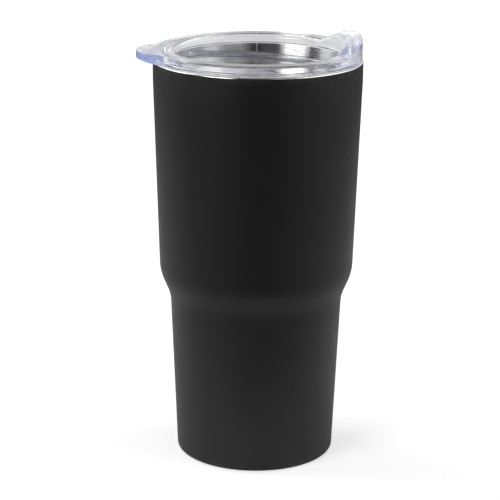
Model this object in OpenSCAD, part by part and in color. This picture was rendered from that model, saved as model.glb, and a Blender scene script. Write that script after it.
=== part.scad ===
// Vacuum insulated tumbler: a two-stage double-walled steel cup with a clear press-in lid.
// +Z is up, the origin is on the cup's axis in the plane it stands on, and the lid's
// mouthpiece points along +X with the thumb tab opposite.

/* [Cup] */
// Height of the steel cup, foot to lip
cup_h = 195; // [190:1:200]
// Outer diameter at the lip
rim_d = 100; // [99.6:0.1:100.4]
// Outer diameter of the upper stage where the shoulder starts
upper_low_d = 93.8; // [93:0.2:95]
// Outer diameter of the lower stage just under the shoulder
lower_top_d = 83.6; // [82:0.2:85]
// Outer diameter at the foot
foot_d = 76.8; // [75:0.2:79]
// Height of the shoulder's upper end
shoulder_top_z = 91.5; // [90:0.5:94]
// Height of the shoulder's lower end
shoulder_low_z = 79.5; // [77:0.5:81]
// Length of the straight collar under the lip
collar_h = 9; // [7:0.5:12]
// Wall thickness of the outer shell
shell_t = 0.6; // [0.5:0.1:0.8]
// Wall thickness of the inner wall
liner_t = 0.5; // [0.4:0.1:0.6]
// Vacuum gap between the two walls
vacuum_gap = 2.4; // [2:0.1:2.8]
// Inner diameter of the mouth, where the lid's gasket seals
mouth_d = 96.8; // [96.7:0.1:97]

/* [Foot] */
// Height of the base cover above the plane the cup stands on
foot_recess = 1.6; // [1.4:0.1:1.8]
// Inner diameter of the foot ring
foot_ring_d = 63; // [61:0.5:65]

/* [Lid] */
// Outer diameter of the flange
flange_d = 98.8; // [98.4:0.1:99.4]
// Thickness of the flange
flange_t = 5; // [4.6:0.1:5.5]
// Reach of the thumb tab from the axis
tab_reach = 57.8; // [56.6:0.2:59]
// Radius of the thumb tab's end
tab_r = 18.5; // [17:0.5:19]
// Height of the mouthpiece above the flange
mouthpiece_h = 6.4; // [5.6:0.2:7]
// Depth of the well on the axis, from the flange's top
well_depth = 11.5; // [11:0.1:12]
// Slope of the well's floor down to the mouthpiece, in degrees
floor_slope = 4.5; // [3:0.5:5]
// Width of the sip slot
slot_w = 6; // [5:0.5:6.5]
// Diameter of the vent hole
vent_d = 2.4; // [2:0.2:3]

/* [Hidden] */
$fn = 96;
rim_r = rim_d / 2;
mouth_r = mouth_d / 2;
foot_ring_r = foot_ring_d / 2;

// Cup walls
lip_h = 0.7;
lip_round = 0.6;
lip_crown = 0.1;
collar_bend_r = 180;
shoulder_bend_r = 22;
foot_bend_r = 2;
hem_bend_r = 0.8;
neck_bend_r = 8;
neck_top_z = cup_h - 15;
neck_low_z = cup_h - 21;
wall_step = shell_t + vacuum_gap + liner_t;
inner_floor_z = 9;
inner_corner_r = 6;
inner_dome = [10, 1];
inner_dome_bend_r = 60;
liner_low_z = 18;
liner_skirt_h = 2;
liner_low_r = foot_d / 2 - wall_step + (lower_top_d - foot_d) / 2 * liner_low_z / shoulder_low_z;

// Vacuum parts in and under the outer bottom
bottom_t = 0.6;
bottom_z = 3.4;
dimple = [7, 5];
dimple_h = 1.2;
dimple_bend_r = 1.5;
seal_bore_r = 1;
seal_r = 4;
seal_h = 0.9;
cover_t = 0.5;
cover_rim_h = 1.6;
cover_step = [24, 23];
cover_step_h = 0.4;
foil_t = 0.1;
foil_gap = 0.1;
foil_top_z = neck_low_z - 8;
foil_low_z = liner_low_z + 8;
getter_r = 4;
getter_h = 1.4;
getter_x = 17;
clip_t = 0.3;
clip_w = 4;
clip_leg_x = 4.4;
clip_foot_x = 8;

// Lid
seat_gap = 0.1;
flange_r = flange_d / 2;
flange_z = cup_h + seat_gap;
lid_top_z = flange_z + flange_t;
well_r = 40.5;
well_floor_r = 39.9;
well_edge_r = 2.3;
well_wall_r = 42.2;
floor_t = 2.2;
plug_r = 47.2;
plug_wall_t = 2.6;
plug_h = 12.5;
plug_z = flange_z - plug_h;
plug_edge_r = 0.8;
channel_roof_z = flange_z + 1;
channel_edge_r = 0.9;
groove_r = 45.8;
groove_z = plug_z + 1.8;
groove_h = 3.6;
tab_blend_r = 10;
tab_bevel = [10, 1.3];
slot_r = 35.5;
slot_angle = 15;
vent_x = -33;
spout_root_z = lid_top_z - well_edge_r;
spout_lean = 1.2;
spout_axis_x = 70;
crest_r = 26.9;
spout_r = 43.85;
crest_bend_r = 43;
crest_foot_r = 6;

// Gasket
gasket_gap = 0.08;
gasket_body_r = 47.4;
fin_h = 1;
fin_tip_h = 0.4;

function unit(v) = v / norm(v);
function turn_of(a, b) = sign(a.x * b.y - a.y * b.x);
function right_of(a, b) = unit([b.y - a.y, a.x - b.x]);
function flat(p) = [p.x, p.y];
function reverse(v) = [for (i = [len(v) - 1 : -1 : 0]) v[i]];

// Points of an arc of radius r that rounds the corner b between a and c
function bend(a, b, c, r, steps = 8) =
    let (u = unit(a - b),
         v = unit(c - b),
         half = acos(u * v) / 2,
         centre = b + unit(u + v) * r / sin(half),
         start = b + u * r / tan(half) - centre,
         end = b + v * r / tan(half) - centre,
         sweep = turn_of(start, end) * acos(unit(start) * unit(end)),
         from = atan2(start.y, start.x))
    [for (i = [0 : steps])
        let (angle = from + sweep * i / steps)
        centre + r * [cos(angle), sin(angle)]];

// An open path of [x, y, bend radius] with its inner corners rounded
function rounded(path) =
    [for (i = [0 : len(path) - 1])
        let (end = i == 0 || i == len(path) - 1)
        each end || path[i].z == 0 ? [flat(path[i])] :
            bend(flat(path[i - 1]), flat(path[i]), flat(path[i + 1]), path[i].z)];

// The same path moved t to its right-hand side, with its bends kept concentric
function beside(path, t) =
    [for (i = [0 : len(path) - 1])
        let (last = len(path) - 1,
             p = flat(path[i]),
             before = i == 0 ? right_of(p, flat(path[1])) : right_of(flat(path[i - 1]), p),
             after = i == last ? before : right_of(p, flat(path[i + 1])),
             q = p + t * (before + after) / (1 + before * after),
             r = path[i].z + turn_of(before, after) * t)
        [q.x, q.y, path[i].z == 0 ? 0 : r]];

// Closed section of a sheet of thickness t on the right-hand side of a path
function sheet(path, t) = concat(rounded(path), reverse(rounded(beside(path, t))));

// The point at height z on the line through two points of a path
function at_height(a, b, z) = [a.x + (b.x - a.x) * (z - a.y) / (b.y - a.y), z, 0];

// Outer face of the shell, from under the lip down to the hem inside the foot ring
shell_path = [
    [rim_r, cup_h - lip_h, 0],
    [rim_r, cup_h - collar_h, collar_bend_r],
    [upper_low_d / 2, shoulder_top_z, shoulder_bend_r],
    [lower_top_d / 2, shoulder_low_z, shoulder_bend_r],
    [foot_d / 2, 0, foot_bend_r],
    [foot_ring_r, 0, hem_bend_r],
    [foot_ring_r, bottom_z + bottom_t, 0]];

// Inner face of the liner, from the lip down to its open lower end
liner_path = [
    [mouth_r, cup_h - lip_h, 0],
    [mouth_r, neck_top_z, neck_bend_r],
    [rim_r - wall_step, neck_low_z, neck_bend_r],
    [upper_low_d / 2 - wall_step, shoulder_top_z, shoulder_bend_r],
    [lower_top_d / 2 - wall_step, shoulder_low_z, shoulder_bend_r],
    [liner_low_r, liner_low_z + liner_skirt_h, neck_bend_r],
    [liner_low_r, liner_low_z, 0]];

module revolve(section) rotate_extrude() polygon(section);

// Powder-coated shell with its foot ring and hem
module outer_shell() color("#242425") revolve(sheet(shell_path, shell_t));

// Bare liner with the rolled lip that closes the two walls at the mouth
module inner_wall() {
    mid_r = (mouth_r + rim_r) / 2;
    inside = concat(
        [[mid_r - lip_crown, cup_h, 0], [mouth_r, cup_h, lip_round]],
        [for (i = [1 : len(liner_path) - 1]) liner_path[i]]);
    outside = beside(liner_path, -liner_t);
    lip = [
        [rim_r, cup_h - lip_h, 0],
        [rim_r, cup_h, lip_round],
        [mid_r + lip_crown, cup_h, 0]];
    color("silver") revolve(concat(rounded(inside), reverse(rounded(outside)), rounded(lip)));
}

// Dished plate that closes the liner
module inner_bottom() {
    dish = [
        [liner_low_r, liner_low_z, 0],
        [liner_low_r, inner_floor_z, inner_corner_r],
        [inner_dome[0], inner_floor_z + inner_dome[1], inner_dome_bend_r],
        [0, inner_floor_z + inner_dome[1], 0]];
    color("silver") revolve(sheet(dish, -liner_t));
}

// Plate that closes the shell inside the hem, with the evacuation dimple and its hole
module outer_bottom() {
    plate = [
        [foot_ring_r, bottom_z, 0],
        [dimple[0], bottom_z, dimple_bend_r],
        [dimple[1], bottom_z + dimple_h, dimple_bend_r],
        [seal_bore_r, bottom_z + dimple_h, 0]];
    color("darkgray") revolve(sheet(plate, bottom_t));
}

// Glass bead that fills the hole and spreads under it
module vacuum_seal() {
    roof_z = bottom_z + dimple_h;
    bead = [
        [0, roof_z + bottom_t, 0],
        [seal_bore_r, roof_z + bottom_t, 0],
        [seal_bore_r, roof_z, 0],
        [seal_r, roof_z, 0],
        [seal_r / 2, roof_z - seal_h, seal_r / 2],
        [0, roof_z - seal_h, 0]];
    color("#3a4a3c") revolve(rounded(bead));
}

// Cap in the foot recess that hides the dimple
module base_cover() {
    cap = [
        [foot_ring_r, foot_recess + cover_rim_h, 0],
        [foot_ring_r, foot_recess, hem_bend_r],
        [cover_step[0], foot_recess, cover_step_h],
        [cover_step[1], foot_recess + cover_step_h, cover_step_h],
        [0, foot_recess + cover_step_h, 0]];
    color("silver") revolve(sheet(cap, cover_t));
}

// Thin copper sleeve round the liner in the vacuum gap
module radiation_foil() {
    wrap = [
        at_height(liner_path[2], liner_path[3], foil_top_z),
        liner_path[3],
        liner_path[4],
        at_height(liner_path[4], liner_path[5], foil_low_z)];
    color("#b87333") revolve(sheet(beside(wrap, -liner_t - foil_gap), -foil_t));
}

// Pill that keeps the vacuum
module getter() color("dimgray")
    translate([getter_x, 0, bottom_z + bottom_t]) cylinder(r = getter_r, h = getter_h);

// Strip welded over the pill
module getter_clip() {
    strip = [
        [-clip_foot_x, 0, 0],
        [-clip_leg_x, 0, 0],
        [-clip_leg_x, getter_h, 0],
        [clip_leg_x, getter_h, 0],
        [clip_leg_x, 0, 0],
        [clip_foot_x, 0, 0]];
    color("gainsboro") translate([getter_x, clip_w / 2, bottom_z + bottom_t]) rotate([90, 0, 0])
        linear_extrude(clip_w) polygon(sheet(strip, -clip_t));
}

// Flange circle with the thumb tab, its sides blended in by arcs
module lid_outline() {
    tip = [tab_r - tab_reach, 0];
    far = flange_r + tab_blend_r;
    near = tab_r + tab_blend_r;
    x = (far * far - near * near + tip.x * tip.x) / (2 * tip.x);
    y = sqrt(far * far - x * x);
    circle(flange_r);
    translate(tip) circle(tab_r);
    difference() {
        polygon([[0, 0], [x, y], tip, [x, -y]]);
        for (side = [-1, 1]) translate([x, side * y]) circle(tab_blend_r);
    }
}

// Everything under a plane parallel to the well's floor, drop below it
module below_floor(drop) {
    block = 2 * flange_d;
    translate([0, 0, lid_top_z - well_depth - drop / cos(floor_slope)]) rotate([0, floor_slope, 0])
        translate([-block / 2, -block / 2, -block]) cube(block);
}

// Space inside the well, flared at the flange's inner edge
module well_space() {
    above = 1;
    side = [
        [0, lid_top_z, 0],
        [0, plug_z, 0],
        [well_floor_r, plug_z, 0],
        [well_r, lid_top_z, well_edge_r],
        [well_r + 2 * well_edge_r, lid_top_z, 0],
        [well_r + 2 * well_edge_r, lid_top_z + above, 0],
        [0, lid_top_z + above, 0]];
    difference() {
        revolve(rounded(side));
        below_floor(0);
    }
}

// Outer wall of the plug with the gasket's groove
module plug_wall() {
    inner_r = plug_r - plug_wall_t;
    wall = [
        [inner_r, channel_roof_z, 0],
        [inner_r, plug_z, plug_edge_r],
        [plug_r, plug_z, plug_edge_r],
        [plug_r, groove_z, 0],
        [groove_r, groove_z, 0],
        [groove_r, groove_z + groove_h, 0],
        [plug_r, groove_z + groove_h, 0],
        [plug_r, channel_roof_z, 0]];
    revolve(rounded(wall));
}

// Groove that hollows out the plug from below
module channel() {
    below = 1;
    inner_r = plug_r - plug_wall_t;
    section = [
        [well_wall_r, flange_z - below, 0],
        [well_wall_r, channel_roof_z, channel_edge_r],
        [inner_r, channel_roof_z, channel_edge_r],
        [inner_r, flange_z - below, 0]];
    revolve(rounded(section));
}

// Slot bent round the axis, with round ends
module sip_slot() {
    for (angle = [-slot_angle, slot_angle]) rotate(angle)
        translate([slot_r, 0, plug_z]) cylinder(d = slot_w, h = plug_h);
    rotate(-slot_angle) rotate_extrude(angle = 2 * slot_angle)
        translate([slot_r - slot_w / 2, plug_z]) square([slot_w, plug_h]);
}

// Raised lip to drink from, level with the flange's outer face. Its top is a round hill centred
// outside the lid, so the lip is highest at the spout and falls towards both flanks and the well.
module mouthpiece() {
    crest_z = lid_top_z + mouthpiece_h;
    foot_r = spout_r + crest_foot_r;
    hill = [
        [0, crest_z, 0],
        [crest_r, crest_z, crest_bend_r],
        [spout_r, lid_top_z, crest_foot_r],
        [foot_r, lid_top_z, 0],
        [foot_r, spout_root_z, 0],
        [0, spout_root_z, 0]];
    intersection() {
        revolve([
            [well_r, spout_root_z],
            [well_r + spout_lean, crest_z],
            [flange_r, crest_z],
            [flange_r, spout_root_z]]);
        translate([spout_axis_x, 0, 0]) revolve(rounded(hill));
    }
}

// Slope that lifts the tab's underside towards its end
module tab_bevel_cut() {
    beyond = 1;
    slope = tab_bevel.y / tab_bevel.x;
    rotate([90, 0, 0]) linear_extrude(flange_d, center = true) polygon([
        [-tab_reach - beyond, flange_z - beyond],
        [-tab_reach - beyond, flange_z + tab_bevel.y + slope * beyond],
        [-tab_reach + tab_bevel.x + slope * beyond, flange_z - slope * beyond],
        [-tab_reach + tab_bevel.x, flange_z - beyond]]);
}

// One clear moulding: flange with tab, plug, well with slot and vent, and mouthpiece
module lid_body() color("lightsteelblue", 0.5) {
    difference() {
        union() {
            translate([0, 0, flange_z]) linear_extrude(flange_t) lid_outline();
            translate([0, 0, plug_z]) cylinder(r = well_wall_r, h = plug_h + flange_t / 2);
        }
        well_space();
        channel();
        tab_bevel_cut();
        sip_slot();
        translate([vent_x, 0, plug_z]) cylinder(d = vent_d, h = plug_h);
        intersection() {
            translate([0, 0, plug_z - 1]) cylinder(r = flange_r, h = plug_h);
            below_floor(floor_t);
        }
    }
    plug_wall();
    mouthpiece();
}

// Soft ring with two sealing fins, held in the plug's groove
module lid_gasket() {
    low_z = groove_z + gasket_gap;
    high_z = groove_z + groove_h - gasket_gap;
    tip_r = mouth_r - gasket_gap;
    function fin(z) = [
        [gasket_body_r, z],
        [tip_r, z + (fin_h - fin_tip_h)],
        [tip_r, z + fin_h],
        [gasket_body_r, z + fin_h]];
    color("white", 0.7) revolve(concat(
        [[groove_r + gasket_gap, low_z], [gasket_body_r, low_z]],
        fin(low_z + fin_tip_h),
        fin(high_z - fin_h - fin_tip_h),
        [[gasket_body_r, high_z], [groove_r + gasket_gap, high_z]]));
}

outer_shell();
outer_bottom();
vacuum_seal();
base_cover();
inner_wall();
inner_bottom();
radiation_foil();
getter();
getter_clip();
lid_body();
lid_gasket();
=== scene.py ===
"""Looks of the insulated tumbler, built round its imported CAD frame. Metres, +Z up, mouthpiece at +X."""
import math

import bmesh
import bpy
from mathutils import Matrix, Vector


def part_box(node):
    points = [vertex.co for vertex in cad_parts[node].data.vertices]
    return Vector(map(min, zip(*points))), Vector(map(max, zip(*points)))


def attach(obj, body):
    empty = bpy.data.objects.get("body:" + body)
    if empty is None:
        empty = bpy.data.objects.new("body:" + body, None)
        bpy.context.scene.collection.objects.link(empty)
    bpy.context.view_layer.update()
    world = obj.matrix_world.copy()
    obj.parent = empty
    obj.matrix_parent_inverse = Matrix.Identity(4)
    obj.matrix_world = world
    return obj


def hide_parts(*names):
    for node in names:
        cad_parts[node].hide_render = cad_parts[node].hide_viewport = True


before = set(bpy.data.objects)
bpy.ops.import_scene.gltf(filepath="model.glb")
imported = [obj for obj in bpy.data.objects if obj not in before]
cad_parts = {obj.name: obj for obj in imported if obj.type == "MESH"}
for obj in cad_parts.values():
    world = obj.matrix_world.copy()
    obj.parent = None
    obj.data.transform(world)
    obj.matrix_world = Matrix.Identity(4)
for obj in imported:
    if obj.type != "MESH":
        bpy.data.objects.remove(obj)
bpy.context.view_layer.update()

MM = 0.001

# ---------------------------------------------------------------- sizes of the cup
SHELL_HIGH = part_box("outer_shell")[1]
LINER_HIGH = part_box("inner_wall")[1]
DISH_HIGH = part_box("inner_bottom")[1]
COVER_LOW, COVER_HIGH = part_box("base_cover")

RIM_R = SHELL_HIGH.y
SHELL_TOP = SHELL_HIGH.z
CUP_H = LINER_HIGH.z
SHELL_T = 0.6 * MM
LINER_T = 0.5 * MM
VACUUM_GAP = 2.4 * MM
WALL_STEP = SHELL_T + VACUUM_GAP + LINER_T

COLLAR_H = 9 * MM
COLLAR_BEND = 180 * MM
UPPER_LOW_R = 46.9 * MM
LOWER_TOP_R = 41.8 * MM
SHOULDER_TOP = 91.5 * MM
SHOULDER_LOW = 79.5 * MM
SHOULDER_BEND = 22 * MM
FOOT_R = 38.4 * MM
FOOT_BEND = 2 * MM
HEM_R = COVER_HIGH.x
HEM_TOP = 4 * MM
HEM_BEND = 0.8 * MM

MOUTH_R = 48.4 * MM
LIP_BEND = 0.6 * MM
LIP_CROWN = 0.1 * MM
NECK_TOP = 15 * MM
NECK_LOW = 21 * MM
NECK_BEND = 8 * MM
SKIRT_R = DISH_HIGH.x - LINER_T
SKIRT_LOW = DISH_HIGH.z
SKIRT_H = 2 * MM
SKIRT_BEND = 8 * MM
LINER_SEAM = math.radians(83.9)
SEAM_HALF = 0.25 * MM

DISH_Z = 9 * MM
DISH_CORNER = 6 * MM
DISH_MIDDLE_R = 10 * MM
DISH_RISE = MM
DISH_BEND = 60 * MM

COVER_T = 0.5 * MM
COVER_STEP = 0.4 * MM
COVER_RING_R = 24 * MM
COVER_PANEL_R = 23 * MM

# ---------------------------------------------------------------- sizes of the lid and gasket
LID_LOW, LID_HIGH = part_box("lid_body")
GASKET_LOW, GASKET_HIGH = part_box("lid_gasket")

LID_GAP = 0.1 * MM
FLANGE_R = LID_HIGH.y
FLANGE_T = 5 * MM
FLANGE_Z = CUP_H + LID_GAP
FLANGE_EDGE = 0.35 * MM
FLANGE_UNDER_EDGE = 0.45 * MM
LID_TOP = FLANGE_Z + FLANGE_T
LID_SEGMENTS = 384

TAB_REACH = -LID_LOW.x
TAB_R = 18.5 * MM
TAB_BLEND_R = 10 * MM
BEVEL_LENGTH = 10 * MM
BEVEL_RISE = 1.3 * MM

SPOUT_AXIS_X = 70 * MM
SPOUT_R = 43.85 * MM
SPOUT_FOOT_R = 6 * MM
SPOUT_LEAN = 1.2 * MM
CREST_H = LID_HIGH.z - LID_TOP
CREST_R = 26.9 * MM
CREST_BEND_R = 43 * MM
CREST_INNER_EDGE = 1.1 * MM
CREST_OUTER_EDGE = 0.9 * MM

WELL_DEPTH = 11.5 * MM
WELL_R = 40.5 * MM
WELL_FLOOR_R = 39.9 * MM
WELL_WALL_R = 42.2 * MM
WELL_EDGE_R = 2.3 * MM
WELL_FILLET = 0.6 * MM
FLOOR_T = 2.2 * MM
FLOOR_SLOPE = math.radians(4.5)
FLOOR_UNDER_FILLET = 1.2 * MM

PLUG_R = 47.2 * MM
PLUG_Z = LID_LOW.z
PLUG_WALL = 2.6 * MM
PLUG_ROOT = 0.4 * MM
PLUG_EDGE = 0.8 * MM
CHANNEL_ROOF = FLANGE_Z + MM
CHANNEL_EDGE = 0.9 * MM
GROOVE_R = 45.8 * MM
GROOVE_Z = PLUG_Z + 1.8 * MM
GROOVE_H = 3.6 * MM
GROOVE_EDGE = 0.2 * MM
GROOVE_CORNER = 0.3 * MM

SLOT_R = 35.5 * MM
SLOT_W = 6 * MM
SLOT_ANGLE = math.radians(15)
VENT_X = -33 * MM
VENT_R = 1.2 * MM
HOLE_EDGE = 0.45 * MM
HOLE_EDGE_STEPS = 5

GASKET_PLAY = 0.08 * MM
GASKET_BODY_R = 47.4 * MM
FIN_ROOT = MM
FIN_TIP = 0.4 * MM


# ---------------------------------------------------------------- outlines
def bend(a, b, c, radius, steps):
    """Points of an arc that rounds the corner b between a and c."""
    u = (a - b).normalized()
    v = (c - b).normalized()
    half = math.acos(max(-1, min(1, u.dot(v)))) / 2
    centre = b + (u + v).normalized() * radius / math.sin(half)
    reach = radius / math.tan(half)
    start = b + u * reach - centre
    end = b + v * reach - centre
    sweep = math.atan2(start.x * end.y - start.y * end.x, start.dot(end))
    return [centre + Matrix.Rotation(sweep * i / steps, 2) @ start for i in range(steps + 1)]


def corners(path, steps):
    """The points at each corner of a path of (r, z, bend radius): an arc, or the corner itself."""
    points = [Vector(p[:2]) for p in path]
    made = []
    for i, here in enumerate(points):
        if i in (0, len(points) - 1) or path[i][2] == 0:
            made.append([here])
        else:
            made.append(bend(points[i - 1], here, points[i + 1], path[i][2], steps))
    return made


def rounded(path, steps=10, rest=0.12 * MM):
    """A path with arcs at its corners. Where there is room, a point rests beside each corner."""
    made = corners(path, steps)
    outline = list(made[0])
    for before, group in zip(made, made[1:]):
        gap = group[0] - before[-1]
        if gap.length > 4 * rest:
            step = gap.normalized() * rest
            outline += [before[-1] + step, group[0] - step]
        outline += group
    return outline


def evenly_rounded(path, steps=8, rest=0.12 * MM):
    """As rounded(), but the number of points doesn't depend on the lengths, so sections can be joined."""
    made = corners(path, steps)
    outline = list(made[0])
    for before, group in zip(made, made[1:]):
        gap = group[0] - before[-1]
        step = gap * min(0.3, rest / gap.length)
        outline += [before[-1] + step, group[0] - step] + group
    return outline


def right_of(a, b):
    along = (b - a).normalized()
    return Vector((along.y, -along.x))


def beside(path, t):
    """The same path moved t to its right-hand side, with its bends kept concentric."""
    points = [Vector(p[:2]) for p in path]
    moved = []
    for i, here in enumerate(points):
        before = right_of(points[i - 1], here) if i else right_of(here, points[1])
        after = right_of(here, points[i + 1]) if i + 1 < len(points) else before
        there = here + (before + after) * t / (1 + before.dot(after))
        turn = math.copysign(1, before.x * after.y - before.y * after.x)
        moved.append((there.x, there.y, path[i][2] + turn * t if path[i][2] else 0))
    return moved


def sheet(path, t):
    """Closed section of a sheet of thickness t on the right-hand side of a path."""
    return rounded(path) + rounded(beside(path, t))[::-1]


def arc(centre, radius, start, end, steps=14):
    """Points of an arc between two angles."""
    turns = [start + (end - start) * i / steps for i in range(steps + 1)]
    return [centre + Vector((math.cos(t), math.sin(t))) * radius for t in turns]


# ---------------------------------------------------------------- meshes
def strip(work, low, high):
    """Faces between two rings of vertices. A ring may be a single vertex; two such have none between."""
    count = max(len(low), len(high))
    if count == 1:
        return
    for j in range(count):
        n = (j + 1) % count
        if len(low) == 1:
            work.faces.new((low[0], high[j], high[n]))
        elif len(high) == 1:
            work.faces.new((low[j], low[n], high[0]))
        else:
            work.faces.new((low[j], low[n], high[n], high[j]))


def finished(name, work):
    """The mesh of a bmesh, with its faces turned outwards."""
    bmesh.ops.recalc_face_normals(work, faces=work.faces)
    mesh = bpy.data.meshes.new(name)
    work.to_mesh(mesh)
    work.free()
    return mesh


def shade(mesh, sharp=math.radians(38)):
    """Smooth shading, except over edges that turn by more than an angle."""
    mesh.shade_smooth()
    mesh.set_sharp_from_angle(angle=sharp)


def swept(name, sections):
    """A closed mesh from one section for each angle round the axis. Points at r = 0 are joined into one."""
    on_axis = 1e-7
    work = bmesh.new()
    rings = []
    for k, first in enumerate(sections[0]):
        if max(section[k][0] for section in sections) < on_axis:
            rings.append([work.verts.new((0, 0, first[1]))])
            continue
        ring = []
        for j, section in enumerate(sections):
            r, z = section[k]
            angle = 2 * math.pi * j / len(sections)
            ring.append(work.verts.new((r * math.cos(angle), r * math.sin(angle), z)))
        rings.append(ring)
    for low, high in zip(rings, rings[1:] + rings[:1]):
        strip(work, low, high)
    mesh = finished(name, work)
    shade(mesh)
    return mesh


def lathe(name, outline, segments=256):
    """A body of revolution from a closed outline."""
    return swept(name, [outline] * segments)


def piece(name, mesh, body, node, finish):
    """A finished object that rides on a body and stands for a CAD node."""
    obj = bpy.data.objects.new(name, mesh)
    bpy.context.scene.collection.objects.link(obj)
    mesh.materials.append(finish)
    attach(obj, body)
    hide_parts(node)


# ---------------------------------------------------------------- shader nodes
def new_material(name):
    """A material, its node tree and its main shader."""
    made = bpy.data.materials.new(name)
    made.use_nodes = True
    return made, made.node_tree, made.node_tree.nodes["Principled BSDF"]


def feed(tree, node, inputs):
    """Sets a node's inputs, given as values or as the sockets that feed them."""
    for key, value in inputs.items():
        if isinstance(value, bpy.types.NodeSocket):
            tree.links.new(value, node.inputs[key])
        else:
            node.inputs[key].default_value = value


def add(tree, kind, inputs=None, **settings):
    """A shader node with its settings and inputs."""
    made = tree.nodes.new(kind)
    for key, value in settings.items():
        setattr(made, key, value)
    feed(tree, made, inputs or {})
    return made


def maths(tree, operation, *values):
    return add(tree, "ShaderNodeMath", dict(enumerate(values)), operation=operation).outputs[0]


def vector_maths(tree, operation, *values, out="Vector"):
    return add(tree, "ShaderNodeVectorMath", dict(enumerate(values)), operation=operation).outputs[out]


def parts_of(tree, vector):
    return add(tree, "ShaderNodeSeparateXYZ", {"Vector": vector}).outputs


def place(tree):
    return add(tree, "ShaderNodeTexCoord").outputs["Object"]


def scaled(tree, point, scale):
    return add(tree, "ShaderNodeMapping", {"Vector": point, "Scale": scale}).outputs["Vector"]


def off_axis(tree, point):
    """Distance of a point from the +Z axis."""
    return vector_maths(tree, "LENGTH", scaled(tree, point, (1, 1, 0)), out="Value")


def noise(tree, point, scale, detail=2.0, roughness=0.5):
    inputs = {"Vector": point, "Scale": scale, "Detail": detail, "Roughness": roughness}
    return add(tree, "ShaderNodeTexNoise", inputs).outputs["Fac"]


def spread(tree, value, low, high, start=0.3, end=0.7):
    """value from start..end mapped to low..high."""
    inputs = {"Value": value, "From Min": start, "From Max": end, "To Min": low, "To Max": high}
    return add(tree, "ShaderNodeMapRange", inputs).outputs["Result"]


def soft_step(tree, value, start, end):
    """0 before start and 1 past end. It falls instead of rising if end is the lower one."""
    inputs = {"Value": value, "From Min": start, "From Max": end}
    return add(tree, "ShaderNodeMapRange", inputs, interpolation_type="SMOOTHSTEP").outputs["Result"]


def blend(tree, factor, first, second):
    """A colour between two others, each given as red, green and blue or as a socket."""
    inputs = {"Factor": factor}
    for key, colour in (("A", first), ("B", second)):
        inputs[key] = colour if isinstance(colour, bpy.types.NodeSocket) else (*colour, 1)
    return add(tree, "ShaderNodeMix", inputs, data_type="RGBA").outputs["Result"]


def bump(tree, shader, height, distance, strength=1.0, under=None):
    """Relief on a shader, over the relief that an earlier bump() returned."""
    inputs = {"Height": height, "Distance": distance, "Strength": strength}
    if under is not None:
        inputs["Normal"] = under
    normal = add(tree, "ShaderNodeBump", inputs).outputs["Normal"]
    tree.links.new(normal, shader.inputs["Normal"])
    return normal


# ---------------------------------------------------------------- materials
def powder_coat():
    """Matt black powder coat: fine grain over a faint orange peel, rubbed smoother at the lip and foot."""
    made, tree, shader = new_material("powder_coat")
    point = place(tree)
    peel = noise(tree, point, 420)
    grain = noise(tree, point, 3400, 3.0, 0.6)
    cloud = noise(tree, point, 28, 3.0)
    height = parts_of(tree, point)["Z"]
    foot = spread(tree, height, 1.0, 0.0, 0.5 * MM, 4 * MM)
    lip = spread(tree, height, 0.0, 1.0, CUP_H - 3.5 * MM, CUP_H - 1.2 * MM)
    patches = spread(tree, noise(tree, point, 160, 4.0), 0.0, 1.0, 0.42, 0.66)
    rub = maths(tree, "MULTIPLY", maths(tree, "ADD", foot, lip), patches)
    black = blend(tree, cloud, (0.0030, 0.0030, 0.0032), (0.0042, 0.0042, 0.0044))
    matt = spread(tree, cloud, 0.48, 0.55)
    feed(tree, shader, {
        "Base Color": blend(tree, rub, black, (0.028, 0.028, 0.028)),
        "Roughness": maths(tree, "MULTIPLY_ADD", rub, -0.14, matt)})
    under = bump(tree, shader, peel, 0.02 * MM, 0.6)
    bump(tree, shader, grain, 0.012 * MM, 0.8, under)
    return made


def seam_line(tree, parts, seam):
    """1 on a thin line up the wall at the angle seam, and 0 beside it."""
    across = maths(tree, "MULTIPLY", parts["Y"], -math.cos(seam))
    off = maths(tree, "ABSOLUTE", maths(tree, "MULTIPLY_ADD", parts["X"], math.sin(seam), across))
    line = spread(tree, off, 1.0, 0.0, SEAM_HALF, 2 * SEAM_HALF)
    back_half = maths(tree, "GREATER_THAN", parts["Y"], 0.0)
    return maths(tree, "MULTIPLY", line, back_half)


def spun_steel(name, light, dark, rough, line_depth, seam=None):
    """Bare steel with fine lines that run round the axis, and a dull pale weld line at the angle seam."""
    made, tree, shader = new_material(name)
    point = place(tree)
    parts = parts_of(tree, point)
    run = maths(tree, "ADD", off_axis(tree, point), parts["Z"])
    slow = parts_of(tree, scaled(tree, point, (14, 14, 0)))
    stretched = {"X": slow["X"], "Y": slow["Y"], "Z": maths(tree, "MULTIPLY", run, 5200.0)}
    around = add(tree, "ShaderNodeCombineXYZ", stretched).outputs["Vector"]
    lines = noise(tree, around, 1.0, 4.0, 0.65)
    colour = blend(tree, noise(tree, point, 45, 3.0), dark, light)
    gloss = spread(tree, lines, *rough)
    if seam is not None:
        line = seam_line(tree, parts, seam)
        colour = blend(tree, line, colour, (0.95, 0.94, 0.92))
        gloss = maths(tree, "MULTIPLY_ADD", line, 0.35, gloss)
    feed(tree, shader, {"Base Color": colour, "Roughness": gloss, "Metallic": 1})
    bump(tree, shader, lines, line_depth, 0.5)
    return made


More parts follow.
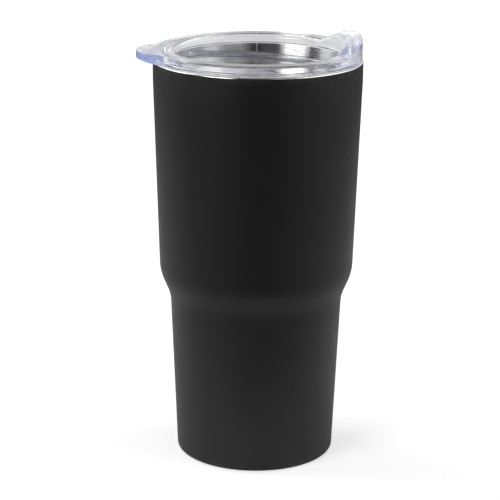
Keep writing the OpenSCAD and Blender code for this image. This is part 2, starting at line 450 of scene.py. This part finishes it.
def clear_plastic():
    """Clear styrene: faint flow marks, a rippled flange underneath, and a violet cast through its depth."""
    made, tree, shader = new_material("clear_plastic")
    point = place(tree)
    flow = noise(tree, scaled(tree, point, (1, 1, 2.5)), 60)
    haze = noise(tree, point, 240, 3.0)
    height = parts_of(tree, point)["Z"]
    low = spread(tree, height, 1.0, 0.0, FLANGE_Z + 0.8 * MM, FLANGE_Z + 1.4 * MM)
    outside = spread(tree, off_axis(tree, point), 0.0, 1.0, PLUG_R, PLUG_R + MM)
    ripple = maths(tree, "MULTIPLY", noise(tree, point, 520), low)
    ripple = maths(tree, "MULTIPLY", ripple, outside)
    feed(tree, shader, {
        "Base Color": (0.985, 0.988, 1.0, 1),
        "Transmission Weight": 1,
        "IOR": 1.57,
        "Roughness": spread(tree, haze, 0.0, 0.02)})
    under = bump(tree, shader, flow, 0.005 * MM, 0.25)
    bump(tree, shader, ripple, 0.3 * MM, 0.7, under)
    tint = {"Color": (0.45, 0.58, 0.98, 1), "Density": 2.2}
    depth = add(tree, "ShaderNodeVolumeAbsorption", tint).outputs["Volume"]
    tree.links.new(depth, tree.nodes["Material Output"].inputs["Volume"])
    return made


def silicone():
    """Milky rubber with a fine grain."""
    made, tree, shader = new_material("silicone")
    point = place(tree)
    cloud = noise(tree, point, 90, 3.0)
    feed(tree, shader, {
        "Base Color": blend(tree, cloud, (0.80, 0.82, 0.85), (0.90, 0.91, 0.93)),
        "Transmission Weight": 0.75,
        "IOR": 1.41,
        "Roughness": spread(tree, cloud, 0.26, 0.38)})
    bump(tree, shader, noise(tree, point, 2600), 0.01 * MM, 0.5)
    return made


def plain_metal(name, first, second, rough, scale):
    """Hidden metal parts: mottled sheet or pressed powder."""
    made, tree, shader = new_material(name)
    point = place(tree)
    cloud = noise(tree, point, scale, 4.0)
    grain = noise(tree, point, scale * 14, 3.0, 0.6)
    feed(tree, shader, {
        "Base Color": blend(tree, cloud, first, second),
        "Roughness": spread(tree, grain, *rough),
        "Metallic": 1})
    bump(tree, shader, grain, 0.01 * MM, 0.5)
    return made


def seal_glass():
    """Dark green sealing glass."""
    made, tree, shader = new_material("seal_glass")
    cloud = noise(tree, place(tree), 700, 4.0)
    feed(tree, shader, {
        "Base Color": blend(tree, cloud, (0.03, 0.05, 0.035), (0.07, 0.10, 0.08)),
        "Roughness": spread(tree, cloud, 0.12, 0.3)})
    bump(tree, shader, cloud, 0.03 * MM, 0.5)
    return made


# ---------------------------------------------------------------- cup
def build_shell(coat):
    """The two-stage shell, from its top edge down and round the foot to the hem inside it."""
    path = [
        (RIM_R, SHELL_TOP, 0),
        (RIM_R, CUP_H - COLLAR_H, COLLAR_BEND),
        (UPPER_LOW_R, SHOULDER_TOP, SHOULDER_BEND),
        (LOWER_TOP_R, SHOULDER_LOW, SHOULDER_BEND),
        (FOOT_R, 0, FOOT_BEND),
        (HEM_R, 0, HEM_BEND),
        (HEM_R, HEM_TOP, 0)]
    mesh = lathe("outer_shell_skin", sheet(path, SHELL_T))
    piece("outer_shell_skin", mesh, "cup", "outer_shell", coat)


def build_liner(steel):
    """The liner: mouth, neck and both stages, and the lip that closes the wall at the top."""
    wall = [
        (MOUTH_R, SHELL_TOP, 0),
        (MOUTH_R, CUP_H - NECK_TOP, NECK_BEND),
        (RIM_R - WALL_STEP, CUP_H - NECK_LOW, NECK_BEND),
        (UPPER_LOW_R - WALL_STEP, SHOULDER_TOP, SHOULDER_BEND),
        (LOWER_TOP_R - WALL_STEP, SHOULDER_LOW, SHOULDER_BEND),
        (SKIRT_R, SKIRT_LOW + SKIRT_H, SKIRT_BEND),
        (SKIRT_R, SKIRT_LOW, 0)]
    mid = (MOUTH_R + RIM_R) / 2
    inside = [(mid - LIP_CROWN, CUP_H, 0), (MOUTH_R, CUP_H, LIP_BEND)] + wall[1:]
    lip = [(RIM_R, SHELL_TOP, 0), (RIM_R, CUP_H, LIP_BEND), (mid + LIP_CROWN, CUP_H, 0)]
    outline = rounded(inside) + rounded(beside(wall, -LINER_T))[::-1] + rounded(lip)
    piece("liner_skin", lathe("liner_skin", outline), "cup", "inner_wall", steel)


def build_dish(steel):
    path = [
        (SKIRT_R, SKIRT_LOW, 0),
        (SKIRT_R, DISH_Z, DISH_CORNER),
        (DISH_MIDDLE_R, DISH_Z + DISH_RISE, DISH_BEND),
        (0, DISH_Z + DISH_RISE, 0)]
    mesh = lathe("dish_skin", sheet(path, -LINER_T))
    piece("dish_skin", mesh, "cup", "inner_bottom", steel)


def build_cover(steel):
    low = COVER_LOW.z
    path = [
        (HEM_R, COVER_HIGH.z, 0),
        (HEM_R, low, HEM_BEND),
        (COVER_RING_R, low, COVER_STEP),
        (COVER_PANEL_R, low + COVER_STEP, COVER_STEP),
        (0, low + COVER_STEP, 0)]
    mesh = lathe("cover_skin", sheet(path, COVER_T))
    piece("cover_skin", mesh, "cup", "base_cover", steel)


# ---------------------------------------------------------------- lid
def crest_outline():
    """The mouthpiece's height over the flange, as points (distance from the hill's centre, height)."""
    path = [
        (0, CREST_H, 0),
        (CREST_R, CREST_H, CREST_BEND_R),
        (SPOUT_R, 0, SPOUT_FOOT_R),
        (SPOUT_R + SPOUT_FOOT_R, 0, 0)]
    return rounded(path, steps=16, rest=MM)


CREST = crest_outline()


def crest(x, y):
    """Height of the mouthpiece over the flange: a round hill centred outside the lid."""
    away = math.hypot(x - SPOUT_AXIS_X, y)
    for a, b in zip(CREST, CREST[1:]):
        if a.x <= away <= b.x:
            return a.y + (b.y - a.y) * (away - a.x) / max(b.x - a.x, 1e-9)
    return 0.0


def outline_radius(angle):
    """Distance from the axis to the lid's outline: the flange, the tab's end, or the arcs between."""
    from_tab = abs(math.remainder(angle - math.pi, 2 * math.pi))
    reach = TAB_REACH - TAB_R
    far = FLANGE_R + TAB_BLEND_R
    near = TAB_R + TAB_BLEND_R
    x = (far ** 2 - near ** 2 + reach ** 2) / (2 * reach)
    y = math.sqrt(far ** 2 - x ** 2)
    leaves_flange = math.atan2(y, x)
    touch = Vector((reach, 0)) + (Vector((x, y)) - Vector((reach, 0))) * TAB_R / near
    meets_tab = math.atan2(touch.y, touch.x)
    if from_tab >= leaves_flange:
        return FLANGE_R
    if from_tab > meets_tab:
        off = leaves_flange - from_tab
        return far * math.cos(off) - math.sqrt(TAB_BLEND_R ** 2 - (far * math.sin(off)) ** 2)
    return reach * math.cos(from_tab) + math.sqrt(TAB_R ** 2 - (reach * math.sin(from_tab)) ** 2)


def floor_z(x, drop=0.0):
    """Height of the well's sloping floor, or of the plane that lies drop under it."""
    return LID_TOP - WELL_DEPTH - drop / math.cos(FLOOR_SLOPE) - x * math.tan(FLOOR_SLOPE)


def under_z(x):
    """Underside of the flange, bevelled up at the tab's end."""
    past = -x - (TAB_REACH - BEVEL_LENGTH)
    return FLANGE_Z + max(0.0, past) * BEVEL_RISE / BEVEL_LENGTH


def lid_section(angle):
    """Half section of the lid at an angle, from the floor's top on the axis round to its underside."""
    c, s = math.cos(angle), math.sin(angle)
    share = crest(WELL_R * c, WELL_R * s) / CREST_H
    inner = WELL_R + SPOUT_LEAN * share
    outer = outline_radius(angle)
    middle = (inner + outer) / 2
    top = {r: LID_TOP + crest(r * c, r * s) for r in (inner, middle, outer)}
    outer_share = (top[outer] - LID_TOP) / CREST_H
    inner_edge = WELL_EDGE_R + (CREST_INNER_EDGE - WELL_EDGE_R) * share
    outer_edge = FLANGE_EDGE + (CREST_OUTER_EDGE - FLANGE_EDGE) * outer_share
    # where the tab's bevel starts on this section, or a point close to the edge if it never does
    crease = min((TAB_REACH - BEVEL_LENGTH) / max(-c, 0.2), outer - 2 * FLANGE_UNDER_EDGE)
    channel_r = PLUG_R - PLUG_WALL
    return evenly_rounded([
        (0, floor_z(0), 0),
        (WELL_FLOOR_R, floor_z(WELL_FLOOR_R * c), WELL_FILLET),
        (inner, top[inner], inner_edge),
        (middle, top[middle], 0),
        (outer, top[outer], outer_edge),
        (outer, under_z(outer * c), FLANGE_UNDER_EDGE),
        (crease, under_z(crease * c), 0),
        (PLUG_R, FLANGE_Z, PLUG_ROOT),
        (PLUG_R, GROOVE_Z + GROOVE_H, GROOVE_EDGE),
        (GROOVE_R, GROOVE_Z + GROOVE_H, GROOVE_CORNER),
        (GROOVE_R, GROOVE_Z, GROOVE_CORNER),
        (PLUG_R, GROOVE_Z, GROOVE_EDGE),
        (PLUG_R, PLUG_Z, PLUG_EDGE),
        (channel_r, PLUG_Z, PLUG_EDGE),
        (channel_r, CHANNEL_ROOF, CHANNEL_EDGE),
        (WELL_WALL_R, CHANNEL_ROOF, CHANNEL_EDGE),
        (WELL_WALL_R, floor_z(WELL_WALL_R * c, FLOOR_T), FLOOR_UNDER_FILLET),
        (0, floor_z(0, FLOOR_T), 0)])


def slot_outline(grow):
    """Points round the sip slot, bent round the axis, made bigger by grow on every side."""
    half = SLOT_W / 2 + grow
    axis = Vector((0, 0))
    left = Vector((math.cos(SLOT_ANGLE), math.sin(SLOT_ANGLE))) * SLOT_R
    right = Vector((left.x, -left.y))
    points = arc(axis, SLOT_R + half, -SLOT_ANGLE, SLOT_ANGLE)
    points += arc(left, half, SLOT_ANGLE, SLOT_ANGLE + math.pi)[1:-1]
    points += arc(axis, SLOT_R - half, SLOT_ANGLE, -SLOT_ANGLE)
    points += arc(right, half, math.pi - SLOT_ANGLE, 2 * math.pi - SLOT_ANGLE)[1:-1]
    return points


def vent_outline(grow):
    return arc(Vector((VENT_X, 0)), VENT_R + grow, 0, 2 * math.pi, 40)[:-1]


def cutter(name, outline):
    """A tool that cuts a hole with rounded edges through the sloping floor."""
    beyond = 0.5 * MM
    levels = [(HOLE_EDGE + beyond, -beyond)]
    for i in range(HOLE_EDGE_STEPS + 1):
        turn = math.pi / 2 * i / HOLE_EDGE_STEPS
        levels.append((HOLE_EDGE * (1 - math.sin(turn)), HOLE_EDGE * (1 - math.cos(turn))))
    levels += [(grow, FLOOR_T - depth) for grow, depth in levels[::-1]]
    work = bmesh.new()
    rings = []
    for grow, depth in levels:
        rings.append([work.verts.new((p.x, p.y, floor_z(p.x, depth))) for p in outline(grow)])
    for low, high in zip(rings, rings[1:]):
        strip(work, low, high)
    work.faces.new(rings[0])
    work.faces.new(rings[-1])
    return bpy.data.objects.new(name, finished(name, work))


def applied(obj):
    """A copy of an object's mesh with its modifiers worked out. The object is removed."""
    graph = bpy.context.evaluated_depsgraph_get()
    mesh = bpy.data.meshes.new_from_object(obj.evaluated_get(graph))
    bpy.data.objects.remove(obj)
    return mesh


def with_holes(blank, tools):
    """A mesh with the tools cut out of it. The tools are removed."""
    holder = bpy.data.objects.new("holder", blank)
    bpy.context.scene.collection.objects.link(holder)
    for tool in tools:
        bpy.context.scene.collection.objects.link(tool)
        step = holder.modifiers.new(tool.name, "BOOLEAN")
        step.operation = "DIFFERENCE"
        step.solver = "EXACT"
        step.object = tool
    mesh = applied(holder)
    for tool in tools:
        bpy.data.objects.remove(tool)
    return mesh


def flats_kept(mesh):
    """The mesh with normals that follow its larger faces, so a flat stays flat beside a rounded edge."""
    holder = bpy.data.objects.new("holder", mesh)
    bpy.context.scene.collection.objects.link(holder)
    holder.modifiers.new("normals", "WEIGHTED_NORMAL").keep_sharp = True
    return applied(holder)


def build_lid(plastic):
    sections = [lid_section(2 * math.pi * j / LID_SEGMENTS) for j in range(LID_SEGMENTS)]
    tools = [cutter("slot_tool", slot_outline), cutter("vent_tool", vent_outline)]
    mesh = with_holes(swept("lid_blank", sections), tools)
    shade(mesh)
    piece("lid_moulding", flats_kept(mesh), "lid", "lid_body", plastic)


def fin(z):
    """The four corners of a gasket fin whose lower face starts at z."""
    tip = GASKET_HIGH.x
    return [
        (GASKET_BODY_R, z, 0.1 * MM),
        (tip, z + FIN_ROOT - FIN_TIP, 0.15 * MM),
        (tip, z + FIN_ROOT, 0.15 * MM),
        (GASKET_BODY_R, z + FIN_ROOT, 0.1 * MM)]


def build_gasket(rubber):
    """A ring with two fins. Its outline starts and ends at the middle of its bore."""
    low, high = GASKET_LOW.z, GASKET_HIGH.z
    mid = (low + high) / 2
    bore = GROOVE_R + GASKET_PLAY
    path = [(bore, mid, 0), (bore, low, 0.2 * MM), (GASKET_BODY_R, low, 0.15 * MM)]
    path += fin(low + FIN_TIP) + fin(high - FIN_ROOT - FIN_TIP)
    path += [(GASKET_BODY_R, high, 0.15 * MM), (bore, high, 0.2 * MM), (bore, mid + 0.05 * MM, 0)]
    mesh = lathe("gasket_ring", rounded(path, steps=4, rest=0.04 * MM))
    piece("gasket_ring", mesh, "seal", "lid_gasket", rubber)


# ---------------------------------------------------------------- studio
CAMERA_AZIMUTH = math.radians(-7)
CAMERA_AWAY = 0.8817
CAMERA_HEIGHT = 0.3538
CAMERA_TILT = 0.2797
CAMERA_YAW = 0.00346
CAMERA_ROLL = 0.0085
CAMERA_LENS = 135.3
CAMERA_SENSOR = 36
FLOOR_HALF = 6.0
FLOOR_TONE = 0.72
FLOOR_GLOW = 0.5
# The light pool on the floor lies behind the cup and reaches a little way in front of it.
POOL_LIGHT = 0.8
POOL_DARK = 0.03
POOL_BEHIND = 0.3
POOL_NEAR = 0.07
POOL_FAR = 0.2
ROOM_LEVEL = 0.03
PANEL_SOFT = math.radians(8)
# angle from the camera to its right, half width, lowest and highest elevation (degrees), brightness
PANELS = [
    (-112, 26, 0, 58, 2.6),
    (-46, 16, 7, 46, 4.4),
    (36, 19, 10, 34, 0.9),
    (90, 41, 0, 50, 2.0),
    (180, 50, -90, 30, 0.8),
    (0, 180, 62, 95, 0.4),
]
TRAPPED_LIGHT_BOUNCES = 256


def build_camera():
    lens = bpy.data.cameras.new("camera")
    lens.lens = CAMERA_LENS
    lens.sensor_width = CAMERA_SENSOR
    lens.clip_start = 0.01
    eye = bpy.data.objects.new("camera", lens)
    bpy.context.scene.collection.objects.link(eye)
    spot = Matrix.Rotation(CAMERA_AZIMUTH, 4, "Z") @ Vector((0, -CAMERA_AWAY, 0))
    turn = Matrix.Rotation(CAMERA_AZIMUTH + CAMERA_YAW, 4, "Z")
    tilt = Matrix.Rotation(math.pi / 2 - CAMERA_TILT, 4, "X")
    roll = Matrix.Rotation(CAMERA_ROLL, 4, "Z")
    eye.matrix_world = Matrix.Translation((spot.x, spot.y, CAMERA_HEIGHT)) @ turn @ tilt @ roll
    bpy.context.scene.camera = eye


def floor_paint():
    """A pale floor. In the coat and the steel it shows as a light pool round the cup in a dark room."""
    made, tree, shader = new_material("pale_floor")
    ray = add(tree, "ShaderNodeLightPath").outputs
    seen = maths(tree, "MAXIMUM", ray["Is Camera Ray"], ray["Is Transmission Ray"])
    middle = Matrix.Rotation(CAMERA_AZIMUTH, 3, "Z") @ Vector((0, POOL_BEHIND, 0))
    away = vector_maths(tree, "DISTANCE", place(tree), middle, out="Value")
    pool = spread(tree, away, POOL_LIGHT, POOL_DARK, POOL_BEHIND + POOL_NEAR, POOL_BEHIND + POOL_FAR)
    tone = add(tree, "ShaderNodeMix", {"Factor": seen, "A": pool, "B": FLOOR_TONE}).outputs["Result"]
    feed(tree, shader, {
        "Base Color": add(tree, "ShaderNodeCombineXYZ", {"X": tone, "Y": tone, "Z": tone}).outputs["Vector"],
        "Roughness": 0.9,
        "Specular IOR Level": 0,
        "Emission Color": (1, 1, 1, 1),
        "Emission Strength": maths(tree, "MULTIPLY", ray["Is Camera Ray"], FLOOR_GLOW)})
    return made


def build_floor():
    mesh = bpy.data.meshes.new("floor")
    signs = ((-1, -1), (1, -1), (1, 1), (-1, 1))
    mesh.from_pydata([(x * FLOOR_HALF, y * FLOOR_HALF, 0) for x, y in signs], [], [(0, 1, 2, 3)])
    mesh.materials.append(floor_paint())
    floor = bpy.data.objects.new("floor", mesh)
    bpy.context.scene.collection.objects.link(floor)


def panel(tree, way, angle, half, low, high, level):
    """A soft white panel in the room, at an angle round from the camera to its right. Degrees."""
    turn = CAMERA_AZIMUTH + math.radians(angle)
    centre = (math.sin(turn), -math.cos(turn), 0)
    half, low, high = math.radians(half), math.radians(low), math.radians(high)
    flat = vector_maths(tree, "NORMALIZE", vector_maths(tree, "MULTIPLY", way, (1, 1, 0)))
    off = maths(tree, "ARCCOSINE", vector_maths(tree, "DOT_PRODUCT", flat, centre, out="Value"))
    lift = maths(tree, "ARCSINE", parts_of(tree, way)["Z"])
    light = maths(tree, "MULTIPLY", level, soft_step(tree, off, half + PANEL_SOFT, half - PANEL_SOFT))
    light = maths(tree, "MULTIPLY", light, soft_step(tree, lift, low - PANEL_SOFT, low + PANEL_SOFT))
    return maths(tree, "MULTIPLY", light, soft_step(tree, lift, high + PANEL_SOFT, high - PANEL_SOFT))


def build_world():
    """A dark room with soft panels; the camera itself sees plain white behind the object."""
    world = bpy.data.worlds.new("studio")
    world.use_nodes = True
    tree = world.node_tree
    way = add(tree, "ShaderNodeTexCoord").outputs["Generated"]
    total = ROOM_LEVEL
    for angle, half, low, high, level in PANELS:
        total = maths(tree, "ADD", panel(tree, way, angle, half, low, high, level), total)
    seen = add(tree, "ShaderNodeLightPath").outputs["Is Camera Ray"]
    strength = add(tree, "ShaderNodeMix", {"Factor": seen, "A": total, "B": 1.0}).outputs["Result"]
    feed(tree, tree.nodes["Background"], {"Color": (1, 1, 1, 1), "Strength": strength})
    bpy.context.scene.world = world


def set_light_paths():
    """Plain colours, and enough bounces for the light that total reflection traps in the clear lid."""
    scene = bpy.context.scene
    scene.view_settings.view_transform = "Standard"
    scene.cycles.max_bounces = TRAPPED_LIGHT_BOUNCES
    scene.cycles.transmission_bounces = TRAPPED_LIGHT_BOUNCES
    scene.cycles.glossy_bounces = TRAPPED_LIGHT_BOUNCES


# ---------------------------------------------------------------- assembly
build_camera()
build_floor()
build_world()
set_light_paths()

liner_steel = spun_steel("liner_steel", (0.74, 0.73, 0.71), (0.66, 0.65, 0.63), (0.06, 0.14), 0.002 * MM,
                         LINER_SEAM)
cover_steel = spun_steel("cover_steel", (0.62, 0.61, 0.59), (0.52, 0.51, 0.50), (0.22, 0.36), 0.006 * MM)
build_shell(powder_coat())
build_liner(liner_steel)
build_dish(liner_steel)
build_cover(cover_steel)
build_lid(clear_plastic())
build_gasket(silicone())

HIDDEN = {
    "outer_bottom": plain_metal("plate_steel", (0.42, 0.42, 0.41), (0.55, 0.54, 0.53), (0.3, 0.5), 120),
    "getter_clip": plain_metal("clip_steel", (0.45, 0.45, 0.44), (0.58, 0.57, 0.56), (0.25, 0.45), 300),
    "radiation_foil": plain_metal("copper_foil", (0.66, 0.32, 0.19), (0.80, 0.44, 0.28), (0.15, 0.4), 90),
    "getter": plain_metal("getter_alloy", (0.10, 0.10, 0.11), (0.20, 0.20, 0.21), (0.6, 0.85), 900),
    "vacuum_seal": seal_glass(),
}
for name, finish in HIDDEN.items():
    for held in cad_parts[name].material_slots:
        held.material = finish
